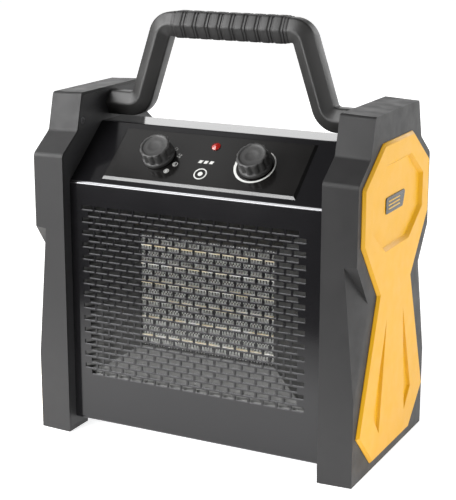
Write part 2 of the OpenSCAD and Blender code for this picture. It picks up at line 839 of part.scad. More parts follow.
module impeller() {
    color("#4a4a4c") at_fan() difference() {
        union() {
            rod_y(hub_r, -9, 9);
            intersection() {
                rod_y(fan_r, -12, 12);
                for (i = [0:blades - 1]) rotate([0, i * 360 / blades, 0]) translate([0, 0, hub_r - 2])
                    rotate(blade_pitch) along_y(-1.1, 2.2)
                        polygon([[-8, 0], [8, 0], [26, fan_r], [-22, fan_r]]);
            }
        }
        rod_y(shaft_r, -20, 20);
        rod_y(hub_r - 3, -10, 4);
        rod_y(hub_r - 3, 7, 10);
    }
    color("#4a4a4c") at_fan() difference() {
        rod_y(6, -6, 4.5);
        rod_y(shaft_r, -20, 20);
    }
}

module impeller_nut() {
    color("#b9bbbd") at_fan() translate([0, -6, 0]) rotate([90, 0, 0]) hex_nut(8, shaft_r, 3.5);
}

module motor_shaft() { color("#c8cacc") at_fan() rod_y(shaft_r, -12, 54); }

module motor_rotor() {
    color("#7c7e80") at_fan() difference() {
        union() {
            rod_y(rotor_r, stack_y[0], stack_y[1]);
            rod_y(rotor_r - 3, stack_y[0] - 1, stack_y[1] + 1);
        }
        rod_y(shaft_r, 0, 60);
    }
}

// Laminated shaded-pole frame, with a window for the coil leg
module motor_stator() {
    color("#8d8f92") at_fan() difference() {
        block([-stack_half_w, stack_y[0], stack_z[0]], [stack_half_w, stack_y[1], stack_z[1]]);
        rod_y(rotor_r + 0.6, 0, 60);
        for (side = [-1, 1]) block([side * 16 - 7, 0, coil_low], [side * 16 + 7, 60, stack_z[1] - 8]);
        for (p = motor_bolt_places) translate([p.x, 0, p.y]) rod_y(2.2, 0, 60);
    }
}

module motor_coil() {
    color("#a8552f") at_fan() difference() {
        block([-22.5, stack_y[0] - 3.5, coil_low + 1], [22.5, stack_y[1] + 3.5, stack_z[1] - 9]);
        block([-9.1, stack_y[0] - 0.2, coil_low], [9.1, stack_y[1] + 0.2, stack_z[1]]);
    }
}

// Cast bridge with the sintered bearing at its middle
module bearing_bridge(y0, y1) {
    at_fan() difference() {
        union() {
            block([-29, y0, -20], [29, y1, -12]);
            rod_y(9, y0, y1);
            block([-7, y0, -16], [7, y1, 0]);
        }
        rod_y(shaft_r + 0.05, y0 - 1, y1 + 1);
        for (p = motor_bolt_places) translate([p.x, 0, p.y]) rod_y(2.2, y0 - 1, y1 + 1);
    }
}
module front_bearing_bracket() { color("#a4a6a8") bearing_bridge(motor_y - 2, stack_y[0] - 2); }
module rear_bearing_bracket() { color("#a4a6a8") bearing_bridge(stack_y[1] + 2, stack_y[1] + 7); }

// Cross that holds the motor behind the impeller
module motor_spider() {
    arm_l = shroud_bore + 8;
    color("#8a8c8e") at_fan() along_y(spider_y, 2.5) difference() {
        union() {
            for (a = [45, 135]) rotate(a) square([2 * arm_l, 12], true);
            translate([-29, -24]) square([58, 36]);
        }
        circle(8);
        for (a = [45:90:315]) rotate(a) translate([shroud_bore + 5.5, 0]) circle(1.7);
        for (p = motor_bolt_places) translate(p) circle(2.2);
    }
}

module motor_bolts() {
    color("#55565a") at_fan() for (p = motor_bolt_places) translate([p.x, 0, p.y]) union() {
        rod_y(2, spider_y, stack_y[1] + 11);
        rod_y(4, stack_y[1] + 7 + gap, stack_y[1] + 10);
        rod_y(4, spider_y - 2.6, spider_y - gap);
        rod_y(2, spider_y - 2, spider_y + 1);
        rod_y(3.6, spider_y + 2.5 + gap, motor_y - 2 - gap);
        rod_y(3.6, stack_y[0] - 2 + gap, stack_y[0] - gap);
        rod_y(3.6, stack_y[1] + gap, stack_y[1] + 2 - gap);
    }
}

// ---- wiring and cable inlet ----

module terminal_block() {
    color("#e4e0d4") translate(block_pos) difference() {
        block([-24, -10, 0], [24, 10, 17]);
        for (i = [-2:2]) translate([i * 9, 0, 0]) {
            translate([0, -4, 9]) cylinder(r = 2.4, h = 9);
            translate([0, 5, 9]) cylinder(r = 2.4, h = 9);
            translate([0, 0, 5]) rod_y(2.2, -11, 11);
        }
    }
}

module wiring() {
    block_z = block_pos.z + 5;
    color("#7a4a2c") for (i = [-2:2]) {
        x = block_pos.x + i * 9;
        tube([
            [x, block_pos.y - 7, block_z], [x, block_pos.y - 18, block_z], [x + 6, 8, block_z + 6],
            [108 + i, 2 * i, 46], [112, 2.5 * i, 90], [112, 2.5 * i, 190], [106, 2.5 * i, 236],
            [90, 2.5 * i, 250], [20, 2.5 * i - 6, 252], [-14, 2.5 * i - 16, 250], [-33, 2.5 * i - 24, 249],
        ], 1.1, 6);
    }
}

module spider_screws() {
    color("#55565a") at_fan() for (a = [45:90:315]) rotate([0, a, 0])
        translate([shroud_bore + 5.5, spider_y + 2.5, 0]) rotate(-90) screw_x(0, 5);
}

module cable_gland() {
    seat = rear_panel_y + sheet_t;
    color("#1c1c1e") translate([gland_x, 0, gland_z]) difference() {
        union() {
            rod_y(gland_thread, seat - 12, seat + 1);
            translate([0, seat + gap, 0]) rotate([-90, 0, 0]) cylinder(r = 13.5, h = 6, $fn = 6);
            rod_y(11.4, seat + 5, seat + 14);
            translate([0, seat + 14, 0]) rotate([-90, 0, 0]) cylinder(r1 = 11.4, r2 = 8.6, h = 4);
            for (a = [0:30:330]) rotate([0, a, 0]) translate([11.2, 0, 0]) rod_y(1.2, seat + 6, seat + 13.5);
        }
        rod_y(gland_bore, seat - 20, seat + 30);
    }
}

module gland_nut() {
    seat = rear_panel_y - 2 * gap;
    color("#1c1c1e") translate([gland_x, seat - 5, gland_z]) rotate([-90, 0, 0])
        hex_nut(26, gland_thread + 0.02, 5);
}

left_cap();
right_cap();
left_liner();
right_liner();
left_side_panel();
right_side_panel();
left_badge();
right_badge();
foot_pads();
cap_screws();
front_shell();
rear_panel();
base_plate();
left_end_plate();
right_end_plate();
rear_screws();
control_panel();
selector_knob();
selector_spindle();
selector_switch();
selector_nut();
thermostat_knob();
thermostat_spindle();
thermostat_body();
thermostat_nut();
capillary_tube();
sensor_bulb();
lamp_lens();
lamp_holder();
handle_bar();
handle_grip();
left_handle_saddle();
right_handle_saddle();
handle_screws();
air_duct();
heater_frame();
heating_bars();
heater_fins();
thermal_cutout();
fan_shroud();
impeller();
impeller_nut();
motor_shaft();
motor_rotor();
motor_stator();
motor_coil();
front_bearing_bracket();
rear_bearing_bracket();
motor_spider();
spider_screws();
motor_bolts();
terminal_block();
wiring();
cable_gland();
gland_nut();
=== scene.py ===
"""Looks of the ceramic fan heater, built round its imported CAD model. Metres, front towards -Y, +Z up."""

import json
import math

import bpy
from mathutils import Matrix, Vector


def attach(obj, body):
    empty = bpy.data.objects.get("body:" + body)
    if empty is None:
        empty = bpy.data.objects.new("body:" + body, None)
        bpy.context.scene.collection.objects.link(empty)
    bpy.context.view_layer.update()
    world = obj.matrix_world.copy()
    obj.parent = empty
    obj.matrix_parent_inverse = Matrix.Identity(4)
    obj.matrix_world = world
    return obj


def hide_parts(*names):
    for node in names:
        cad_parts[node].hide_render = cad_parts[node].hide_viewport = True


MM = 0.001
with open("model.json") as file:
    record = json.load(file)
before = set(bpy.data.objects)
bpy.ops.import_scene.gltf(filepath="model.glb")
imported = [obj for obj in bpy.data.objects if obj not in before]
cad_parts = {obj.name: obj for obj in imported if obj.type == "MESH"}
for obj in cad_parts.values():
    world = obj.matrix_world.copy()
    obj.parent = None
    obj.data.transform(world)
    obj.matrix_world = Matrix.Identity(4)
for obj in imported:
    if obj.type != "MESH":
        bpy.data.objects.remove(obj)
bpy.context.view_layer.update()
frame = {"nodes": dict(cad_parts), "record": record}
nodes = frame["nodes"]

FRONT_Y, BEND_Z = 81.0, 251.2  # the front bend of the sheet-metal shell, in millimetres
HIGHLIGHT_FULL_R, HIGHLIGHT_END_R = 0.8, 2.0  # distances from that bend where the painted highlight, a lighter metallic band, begins to fade and where it ends

# ---------------------------------------------------------------- materials

NOISE_LOW, NOISE_HIGH = 0.3, 0.7  # nearly all of a noise factor lies between these


class Shader:
    """A Principled material whose colour, roughness and relief come from noise in object space."""

    def __init__(self, name, roughness, **sockets):
        self.material = bpy.data.materials.new(name)
        self.material.use_nodes = True
        self.tree = self.material.node_tree
        self.surface = self.tree.nodes["Principled BSDF"]
        self.surface.inputs["Roughness"].default_value = roughness
        for socket, value in sockets.items():
            self.surface.inputs[socket.replace("_", " ")].default_value = value
        self.place = self.node("ShaderNodeTexCoord").outputs["Object"]
        self.relief = None

    def node(self, kind, **values):
        made = self.tree.nodes.new(kind)
        for key, value in values.items():
            setattr(made, key, value)
        return made

    def link(self, a, b):
        self.tree.links.new(a, b)

    def noise(self, scale, detail, stretch=(1, 1, 1)):
        """Noise with scale features to the metre, longer along the axes with a small stretch."""
        mapping = self.node("ShaderNodeMapping")
        mapping.inputs["Scale"].default_value = stretch
        self.link(self.place, mapping.inputs["Vector"])
        noise = self.node("ShaderNodeTexNoise")
        noise.inputs["Scale"].default_value = scale
        noise.inputs["Detail"].default_value = detail
        self.link(mapping.outputs["Vector"], noise.inputs["Vector"])
        return noise.outputs["Fac"]

    def colours(self, factor, *stops):
        """Base colour from a ramp of (position, (r, g, b)) stops."""
        ramp = self.node("ShaderNodeValToRGB")
        while len(ramp.color_ramp.elements) < len(stops):
            ramp.color_ramp.elements.new(0.5)
        for element, (position, colour) in zip(ramp.color_ramp.elements, stops):
            element.position = position
            element.color = (*colour, 1)
        self.link(factor, ramp.inputs["Fac"])
        self.link(ramp.outputs["Color"], self.surface.inputs["Base Color"])

    def vary(self, socket, factor, low, high):
        """Lets a noise factor move a socket between two values."""
        mapped = self.node("ShaderNodeMapRange")
        mapped.inputs["From Min"].default_value = NOISE_LOW
        mapped.inputs["From Max"].default_value = NOISE_HIGH
        mapped.inputs["To Min"].default_value = low
        mapped.inputs["To Max"].default_value = high
        self.link(factor, mapped.inputs["Value"])
        self.link(mapped.outputs["Result"], self.surface.inputs[socket])

    def bump(self, factor, depth_mm):
        """Relief of that depth, added to the relief so far."""
        bump = self.node("ShaderNodeBump")
        bump.inputs["Distance"].default_value = depth_mm * MM
        self.link(factor, bump.inputs["Height"])
        if self.relief is not None:
            self.link(self.relief, bump.inputs["Normal"])
        self.relief = bump.outputs["Normal"]
        self.link(self.relief, self.surface.inputs["Normal"])


def shade(colour, by):
    """The colour, lighter or darker by a factor."""
    return tuple(c * by for c in colour)


def moulded(name, colour, rough, grain_mm=0.35, grain_depth=0.02, spread=0.12, **sockets):
    """Moulded plastic or rubber: faint mottling, uneven gloss and a fine eroded grain."""
    s = Shader(name, rough, **sockets)
    mottle = s.noise(28, 4)
    s.colours(mottle, (NOISE_LOW, shade(colour, 1 - spread)), (NOISE_HIGH, shade(colour, 1 + spread)))
    s.vary("Roughness", s.noise(70, 3), rough - 0.05, rough + 0.06)
    s.bump(s.noise(1 / (grain_mm * MM), 2), grain_depth)
    return s.material


def painted(name, colour, rough, peel_mm=0.9, peel_depth=0.002, **sockets):
    """Powder-coated sheet: fine orange peel and slightly uneven gloss. Returns the Shader."""
    s = Shader(name, rough, **sockets)
    s.colours(s.noise(14, 2), (NOISE_LOW, shade(colour, 0.94)), (NOISE_HIGH, shade(colour, 1.06)))
    s.vary("Roughness", s.noise(20, 2), rough - 0.02, rough + 0.02)
    s.bump(s.noise(1 / (peel_mm * MM), 1), peel_depth)
    return s


def sheet_with_painted_bend_highlight(name, colour, rough, highlight_colour, **sockets):
    """Painted sheet with a painted highlight along the front bend: a lighter, metallic band of colour in
    place of the light line there.
    """
    s = painted(name, colour, rough, **sockets)
    across = s.node("ShaderNodeVectorMath", operation="MULTIPLY")
    across.inputs[1].default_value = (0, 1, 1)
    s.link(s.place, across.inputs[0])
    from_bend = s.node("ShaderNodeVectorMath", operation="DISTANCE")
    from_bend.inputs[1].default_value = (0, -FRONT_Y * MM, BEND_Z * MM)
    s.link(across.outputs["Vector"], from_bend.inputs[0])
    # painted highlight: full near the bend, fading out to the plain coat
    highlight_band = s.node("ShaderNodeMapRange", interpolation_type="SMOOTHSTEP")
    highlight_band.inputs["From Min"].default_value = HIGHLIGHT_FULL_R * MM
    highlight_band.inputs["From Max"].default_value = HIGHLIGHT_END_R * MM
    highlight_band.inputs["To Min"].default_value = 1
    highlight_band.inputs["To Max"].default_value = 0
    s.link(from_bend.outputs["Value"], highlight_band.inputs["Value"])
    # the painted highlight makes the band metallic and lighter in colour
    s.link(highlight_band.outputs["Result"], s.surface.inputs["Metallic"])
    s.colours(highlight_band.outputs["Result"], (0, colour), (1, highlight_colour))
    return s.material


def metal(name, colour, rough, stretch=(1, 1, 1), grain=900, **sockets):
    """Bare or plated metal with a drawn or cast grain."""
    s = Shader(name, rough, Metallic=1.0, **sockets)
    grained = s.noise(grain, 3, stretch)
    s.colours(grained, (NOISE_LOW, shade(colour, 0.85)), (NOISE_HIGH, shade(colour, 1.1)))
    s.vary("Roughness", grained, rough - 0.08, rough + 0.1)
    s.bump(grained, 0.01)
    return s.material


FOIL_FRONT, FOIL_FULL_SHADE = -54.2, -50.0  # places along Y, in millimetres: the front edges of the foil, and where the painted shade down the channels is full


def foil_with_painted_shade():
    """Aluminium foil in its own colour on its front edges at FOIL_FRONT, with painted shade darkening it
    down the channels.
    """
    s = Shader("foil_with_painted_shade", 0.34, Metallic=1.0)
    depth = s.node("ShaderNodeSeparateXYZ")
    s.link(s.place, depth.inputs["Vector"])
    into = s.node("ShaderNodeMapRange")
    into.inputs["From Min"].default_value = FOIL_FRONT * MM
    into.inputs["From Max"].default_value = FOIL_FULL_SHADE * MM
    s.link(depth.outputs["Y"], into.inputs["Value"])
    # painted shade: the foil's colour darkens from its front edges into the channels
    s.colours(
        into.outputs["Result"],
        (0.0, (0.88, 0.88, 0.85)),
        (0.25, (0.11, 0.11, 0.10)),
        (1.0, (0.015, 0.015, 0.015)),
    )
    grained = s.noise(600, 3)
    s.vary("Roughness", grained, 0.26, 0.44)
    s.bump(grained, 0.01)
    return s.material


def bar_film():
    """Insulating film of the heating bars: gold with paler patches."""
    s = Shader("bar_film", 0.38)
    s.colours(
        s.noise(55, 2),
        (0.36, (0.80, 0.66, 0.42)),
        (0.50, (0.88, 0.80, 0.62)),
        (0.62, (0.88, 0.87, 0.86)),
    )
    s.bump(s.noise(900, 2), 0.03)
    return s.material


MATERIALS = {
    "cap_plastic": moulded(
        "cap_plastic", (0.017, 0.0166, 0.017), 0.47, grain_depth=0.010, spread=0.05, IOR=1.42
    ),
    "liner_plastic": moulded("liner_plastic", (0.020, 0.020, 0.021), 0.48, spread=0.05),
    "yellow_plastic": moulded(
        "yellow_plastic", (0.72, 0.37, 0.001), 0.36, grain_mm=0.5, grain_depth=0.006, spread=0.015, IOR=1.38
    ),
    "badge_plastic": moulded("badge_plastic", (0.020, 0.019, 0.014), 0.25),
    "foot_rubber": moulded("foot_rubber", (0.016, 0.016, 0.016), 0.8, grain_depth=0.04),
    "screw_steel": metal("screw_steel", (0.16, 0.16, 0.165), 0.40),
    # the front shell, with a painted highlight along its front bend
    "coated_sheet": sheet_with_painted_bend_highlight(
        "coated_sheet", (0.008, 0.0077, 0.0087), 0.13, highlight_colour=(0.13, 0.13, 0.134), IOR=1.45
    ),
    "slot_edge": metal("slot_edge", (0.060, 0.060, 0.062), 0.24),
    "bare_sheet": metal("bare_sheet", (0.40, 0.41, 0.42), 0.42, (1, 1, 0.1)),
    "control_face": painted(
        "control_face", (0.007, 0.0065, 0.0063), 0.15, peel_mm=0.6, peel_depth=0.001, IOR=1.55
    ).material,
    "knob_plastic": moulded(
        "knob_plastic", (0.029, 0.0285, 0.028), 0.46, grain_mm=0.3, grain_depth=0.010, spread=0.05, IOR=1.55
    ),
    "gland_plastic": moulded("gland_plastic", (0.018, 0.018, 0.019), 0.42),
    "spindle_steel": metal("spindle_steel", (0.55, 0.55, 0.56), 0.30, (1, 0.05, 1)),
    "nut_steel": metal("nut_steel", (0.60, 0.60, 0.60), 0.30),
    "switch_plastic": moulded("switch_plastic", (0.52, 0.49, 0.42), 0.45),
    "lamp_holder_plastic": moulded("lamp_holder_plastic", (0.03, 0.03, 0.03), 0.4),
    "copper": metal("copper", (0.72, 0.34, 0.18), 0.35),
    "handle_plastic": moulded(
        "handle_plastic", (0.024, 0.0235, 0.023), 0.40, grain_depth=0.010, spread=0.05, IOR=1.55
    ),
    "grip_rubber": moulded("grip_rubber", (0.022, 0.0215, 0.0215), 0.46, 0.4, 0.015, spread=0.06),
    "duct_steel": metal("duct_steel", (0.090, 0.090, 0.088), 0.34, (1, 0.2, 1), grain=300),
    "frame_plastic": moulded("frame_plastic", (0.05, 0.05, 0.05), 0.5),
    "bar_foil": bar_film(),
    "fin_aluminium": foil_with_painted_shade(),
    "impeller_plastic": moulded("impeller_plastic", (0.03, 0.03, 0.03), 0.4),
    "rotor_metal": metal("rotor_metal", (0.40, 0.40, 0.41), 0.4),
    "lamination_steel": metal("lamination_steel", (0.26, 0.26, 0.27), 0.5, (0.1, 1, 0.1)),
    "bracket_metal": metal("bracket_metal", (0.55, 0.55, 0.56), 0.5),
    "wire_insulation": moulded("wire_insulation", (0.42, 0.05, 0.035), 0.45),
    "lamp_red": moulded(
        "lamp_red", (0.50, 0.018, 0.010), 0.08, grain_depth=0.001,
        Coat_Weight=1.0, Coat_Roughness=0.03, Transmission_Weight=0.35,
    ),
    "print_white": moulded("print_white", (0.62, 0.62, 0.60), 0.45, 0.2, 0.004, 0.04),
    "print_grey": moulded("print_grey", (0.38, 0.38, 0.37), 0.45, 0.2, 0.004, 0.04),
    "badge_print": moulded("badge_print", (0.60, 0.36, 0.05), 0.4, 0.2, 0.004, 0.04),
}

BARE_SHEET = ("base_plate", "left_end_plate", "right_end_plate")
for part in frame["record"]["subparts"]:
    own = "bare_sheet" if part["node"] in BARE_SHEET else part["material_slot"]
    shown = nodes[part["node"]]
    shown.data.materials.clear()
    shown.data.materials.append(MATERIALS[own])

# ---------------------------------------------------------------- edges of the CAD nodes


def keep_flats(node):
    """Weights the shading normals by area, so that large flat faces look flat up to their edges."""
    flats = nodes[node].modifiers.new("flats", "WEIGHTED_NORMAL")
    flats.keep_sharp = True
    flats.weight = 100


BEVEL_ANGLE, BEVEL_SEGMENTS = 28, 2


def soften(node, width_mm):
    """Rounds the sharp edges of a CAD node with modifiers, which leave its mesh as it is."""
    shown = nodes[node]
    weld = shown.modifiers.new("weld", "WELD")
    weld.merge_threshold = 0.002 * MM
    flat = shown.modifiers.new("flat", "DECIMATE")
    flat.decimate_type = "DISSOLVE"
    flat.angle_limit = math.radians(0.6)
    bevel = shown.modifiers.new("bevel", "BEVEL")
    bevel.width = width_mm * MM
    bevel.segments = BEVEL_SEGMENTS
    bevel.limit_method = "ANGLE"
    bevel.angle_limit = math.radians(BEVEL_ANGLE)
    bevel.use_clamp_overlap = True
    keep_flats(node)


EDGE_MM = {
    "left_cap": 1.0, "right_cap": 1.0, "left_side_panel": 0.5, "right_side_panel": 0.5,
    "left_liner": 0.4, "right_liner": 0.4, "heating_bars": 0.3,
    "left_badge": 0.15, "right_badge": 0.15, "foot_pads": 0.5,
}
for node, width in EDGE_MM.items():
    soften(node, width)
for node in ("front_shell", "control_panel", "rear_panel"):
    keep_flats(node)

# ---------------------------------------------------------------- mesh helpers


def piece(name, points, faces, material, body="housing", replaces=(), sharp=35):
    """A mesh piece from points in millimetres, shaded smooth below the sharp angle."""
    mesh = bpy.data.meshes.new(name)
    mesh.from_pydata([Vector(p) * MM for p in points], [], faces)
    mesh.validate()
    made = bpy.data.objects.new(name, mesh)
    bpy.context.scene.collection.objects.link(made)
    mesh.materials.append(MATERIALS[material])
    bpy.context.view_layer.objects.active = made
    made.select_set(True)
    bpy.ops.object.shade_smooth_by_angle(angle=math.radians(sharp))
    made.select_set(False)
    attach(made, body)
    if replaces:
        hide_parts(*replaces)
    return made


class Form:
    """Points and faces of a closed mesh, put together ring by ring."""

    def __init__(self):
        self.points = []
        self.faces = []

    def loft(self, rings):
        """Solid through rings of equal length, each counter-clockwise seen from the last."""
        start, n = len(self.points), len(rings[0])
        for ring in rings:
            self.points += ring
        for k in range(len(rings) - 1):
            a, b = start + k * n, start + (k + 1) * n
            self.faces += [(a + i, a + (i + 1) % n, b + (i + 1) % n, b + i) for i in range(n)]
        last = start + (len(rings) - 1) * n
        self.faces.append(tuple(start + i for i in reversed(range(n))))
        self.faces.append(tuple(last + i for i in range(n)))

    def plate(self, outline, low, high, place):
        """Flat plate over a counter-clockwise outline of (u, v) points."""
        self.loft([[place((u, v, h)) for u, v in outline] for h in (low, high)])


def rounded_hexagon(across, radius):
    """(w, y) points of a hexagon with corners at +-y, counter-clockwise seen from +X, w downwards."""
    steps = 4
    far = across / 2 / math.cos(math.radians(30))
    inner = far - radius / math.cos(math.radians(30))
    ring = []
    for k in range(6):
        for i in range(steps + 1):
            a = math.radians(60 * k)
            turn = math.radians(60 * k - 30 + 60 * i / steps)
            y = inner * math.cos(a) + radius * math.cos(turn)
            z = inner * math.sin(a) + radius * math.sin(turn)
            ring.append((-z, y))
    return ring


def arc(a, b, c, radius, steps):
    """Points of the arc of that radius in the corner a, b, c of a flat path."""
    a, b, c = Vector(a), Vector(b), Vector(c)
    u, w = (a - b).normalized(), (c - b).normalized()
    half = u.angle(w) / 2
    centre = b + (u + w).normalized() * radius / math.sin(half)
    start = b + u * radius / math.tan(half) - centre
    turn = math.copysign(math.pi - 2 * half, (b - a).cross(c - b))
    return [centre + Matrix.Rotation(turn * i / steps, 2) @ start for i in range(steps + 1)]


def mitred(line, off):
    """The flat line moved to its right-hand side by off."""
    moved = []
    for i, p in enumerate(line):
        before = (line[max(i, 1)] - line[max(i, 1) - 1]).normalized()
        after = (line[min(i + 1, len(line) - 1)] - line[min(i, len(line) - 2)]).normalized()
        n1, n2 = Vector((before.y, -before.x)), Vector((after.y, -after.x))
        moved.append(p + (n1 + n2) * off / (1 + n1.dot(n2)))
    return moved


# ---------------------------------------------------------------- handle

FOOT_Z, GRIP_Z, FOOT_X = 316.0, 395.0, 146.5
BAR_AF, GRIP_AF, BAR_EDGE, GRIP_EDGE = 23.0, 25.5, 3.2, 3.6  # across flats, and radius of the edges
LEG_FOOT_X, LEG_TOP_X = 98.0, 72.0
FOOT_BEND, TOP_BEND, BEND_STEPS = 15.0, 13.0, 12


def handle_line():
    """Middle line of the bar as (x, z) points, from the left foot to the right one."""
    corners = [
        (-FOOT_X, FOOT_Z), (-LEG_FOOT_X, FOOT_Z), (-LEG_TOP_X, GRIP_Z),
        (LEG_TOP_X, GRIP_Z), (LEG_FOOT_X, FOOT_Z), (FOOT_X, FOOT_Z),
    ]
    line = [Vector(corners[0])]
    for i, radius in enumerate((FOOT_BEND, TOP_BEND, TOP_BEND, FOOT_BEND), 1):
        line += arc(corners[i - 1], corners[i], corners[i + 1], radius, BEND_STEPS)
    line.append(Vector(corners[-1]))
    return line


def handle_bar():
    """Hexagonal bar with rounded edges along the middle line."""
    line = handle_line()
    section = rounded_hexagon(BAR_AF, BAR_EDGE)
    sides = [mitred(line, w) for w, _ in section]
    form = Form()
    form.loft([
        [(sides[k][i].x, y, sides[k][i].y) for k, (_, y) in enumerate(section)]
        for i in range(len(line))
    ])
    piece("handle_bar_moulded", form.points, form.faces, "handle_plastic",
          replaces=["handle_bar"], sharp=50)


SEGMENTS, SEGMENT_PITCH = 9, 12.8
GROOVE_AF = BAR_AF + (GRIP_AF - BAR_AF) * 0.25
SLIT_AF, EDGE_AF, RIB_AF = GROOVE_AF + 0.4, 24.6, 25.2
CROWN = (  # place along one segment and width across flats: a pad, a narrow slit, a rib, a groove
    (0.7, GROOVE_AF), (1.0, EDGE_AF), (1.5, RIB_AF), (2.4, GRIP_AF), (7.8, GRIP_AF), (8.7, RIB_AF),
    (9.2, EDGE_AF), (9.4, SLIT_AF), (9.6, SLIT_AF), (9.8, EDGE_AF), (10.2, RIB_AF),
    (11.6, RIB_AF), (12.0, EDGE_AF), (12.3, GROOVE_AF),
)
COLLAR = ((2.0, SLIT_AF), (2.4, GROOVE_AF), (2.4, BAR_AF + 0.1))  # the same beyond the last segment


def handle_grip():
    """Rubber sleeve: crowned pads, each with a narrow rib on its right, parted by grooves."""
    start = -SEGMENTS * SEGMENT_PITCH / 2
    stations = [(start - x, across) for x, across in reversed(COLLAR)]
    for i in range(SEGMENTS):
        stations += [(start + i * SEGMENT_PITCH + x, across) for x, across in CROWN]
    stations += [(-start + x, across) for x, across in COLLAR]
    form = Form()
    form.loft([
        [(x, y, GRIP_Z - w) for w, y in rounded_hexagon(across, GRIP_EDGE)] for x, across in stations
    ])
    piece("handle_grip_sleeve", form.points, form.faces, "grip_rubber",
          replaces=["handle_grip"], sharp=32)


handle_bar()
handle_grip()

# ---------------------------------------------------------------- control face

SLOPE_RUN, SLOPE_RISE = 59.8, 48.8
SLOPE = math.atan2(SLOPE_RISE, SLOPE_RUN)
PANEL_TOP = 2.2  # height of the control panel's face above the slope
KNOB_X, KNOB_S = 50.0, 38.5  # across, and up the slope from the front bend


def on_slope(x, s):
    """Turns local (u, v, height) into the frame of the object: u across, v up the slope."""
    def place(p):
        u, v, h = p
        up = s + v
        return (
            x + u,
            -FRONT_Y + up * math.cos(SLOPE) - h * math.sin(SLOPE),
            BEND_Z + up * math.sin(SLOPE) + h * math.cos(SLOPE),
        )
    return place


FLUTES, KNOB_STEPS = 12, 144
FLUTE_SHARE = 0.24  # how much of one lobe and flute the hollow takes
KNOB_PROFILE = (  # radius, height above the control face, depth of the flutes
    (9.6, 6.6, 0), (10.0, 6.2, 0), (10.0, 2.6, 0), (15.2, 2.6, 0), (15.7, 2.9, 0), (15.8, 3.3, 0),
    (15.8, 5.5, 0), (15.7, 6.0, 0), (15.4, 6.35, 0), (15.0, 6.5, 0.1), (14.85, 6.8, 0.7), (14.8, 7.3, 1.4),
    (14.75, 8.6, 1.7), (14.8, 14.0, 1.7), (14.9, 15.6, 1.5), (14.9, 16.4, 1.2), (14.75, 17.1, 0.9),
    (14.3, 17.6, 0.55), (13.6, 17.92, 0.25), (12.9, 18.0, 0), (12.2, 17.95, 0), (11.7, 17.7, 0),
    (11.4, 17.35, 0), (11.0, 17.2, 0), (8.0, 17.15, 0), (5.4, 17.1, 0), (5.1, 17.0, 0), (1.0, 16.98, 0),
)


def flute(angle):
    """1 in the middle of a flute, 0 on the lobes."""
    off = (math.degrees(angle) * FLUTES / 360) % 1 - 0.5
    return math.exp(-((off / FLUTE_SHARE) ** 2))


def knob(name, x, body, node):
    """Fluted knob on its skirt, in place of the plainer CAD knob."""
    place = on_slope(x, KNOB_S)
    form = Form()
    angles = [2 * math.pi * i / KNOB_STEPS for i in range(KNOB_STEPS)]
    rings = [
        [((r - d * flute(a)) * math.cos(a), (r - d * flute(a)) * math.sin(a), h) for a in angles]
        for r, h, d in KNOB_PROFILE
    ]
    form.loft([[place(p) for p in ring] for ring in rings])
    piece(name, form.points, form.faces, "knob_plastic", body, [node], 45)


knob("selector_knob_fluted", -KNOB_X, "selector", "selector_knob")
knob("thermostat_knob_fluted", KNOB_X, "thermostat", "thermostat_knob")

PRINT = (PANEL_TOP, PANEL_TOP + 0.1)


def circle(x, y, r, n=40):
    """Points of a circle, counter-clockwise."""
    turns = [2 * math.pi * i / n for i in range(n)]
    return [(x + r * math.cos(a), y + r * math.sin(a)) for a in turns]


def band(form, place, centre, r, start, sweep, w_from, w_to, steps):
    """Arc-shaped plate whose width runs from w_from to w_to. Angles in degrees."""
    rings = []
    for i in range(steps + 1):
        t = i / steps
        a = math.radians(start + sweep * t)
        half = (w_from + (w_to - w_from) * t) / 2
        u = (centre[0] + (r - half) * math.cos(a), centre[1] + (r - half) * math.sin(a))
        v = (centre[0] + (r + half) * math.cos(a), centre[1] + (r + half) * math.sin(a))
        ring = [(*u, PRINT[0]), (*v, PRINT[0]), (*v, PRINT[1]), (*u, PRINT[1])]
        rings.append([place(p) for p in (ring if sweep < 0 else ring[::-1])])
    form.loft(rings)


def ring_mark(form, place, centre, r, w, steps=48):
    """Closed ring of even width."""
    band(form, place, centre, r, 0, 360, w, w, steps)


SCALE_CENTRE, SCALE_R = (KNOB_X - 1.0, KNOB_S + 0.2), 19.2
SCALE_START, SCALE_SWEEP, SCALE_STEPS = 58, -253, 96
SCALE_W = (0.9, 2.7)  # at the start and at the end


def temperature_scale():
    """Arc round the thermostat knob that widens clockwise."""
    form = Form()
    band(form, on_slope(0, 0), SCALE_CENTRE, SCALE_R, SCALE_START, SCALE_SWEEP, *SCALE_W, SCALE_STEPS)
    piece("temperature_scale", form.points, form.faces, "print_white")


SIGN_CENTRE, SIGN_R, SIGN_W, SIGN_DOT_R = (-0.8, 23.0), 5.9, 1.2, 2.4
DASHES, DASH_PITCH, DASH_W, DASH_H, DASH_SLANT = 3, 5.6, 3.6, 3.4, 1.0
DASH_CORNER = (-8.2, 35.4)


def plain_marks():
    """A ring with a dot, and three slanted dashes above it."""
    place = on_slope(0, 0)
    form = Form()
    ring_mark(form, place, SIGN_CENTRE, SIGN_R, SIGN_W)
    form.plate(circle(*SIGN_CENTRE, SIGN_DOT_R), *PRINT, place)
    low = DASH_CORNER[1]
    high = low + DASH_H
    for i in range(DASHES):
        left = DASH_CORNER[0] + DASH_PITCH * i
        right = left + DASH_W
        dash = [(left, low), (right, low), (right + DASH_SLANT, high), (left + DASH_SLANT, high)]
        form.plate(dash, *PRINT, place)
    piece("plain_marks", form.points, form.faces, "print_white")


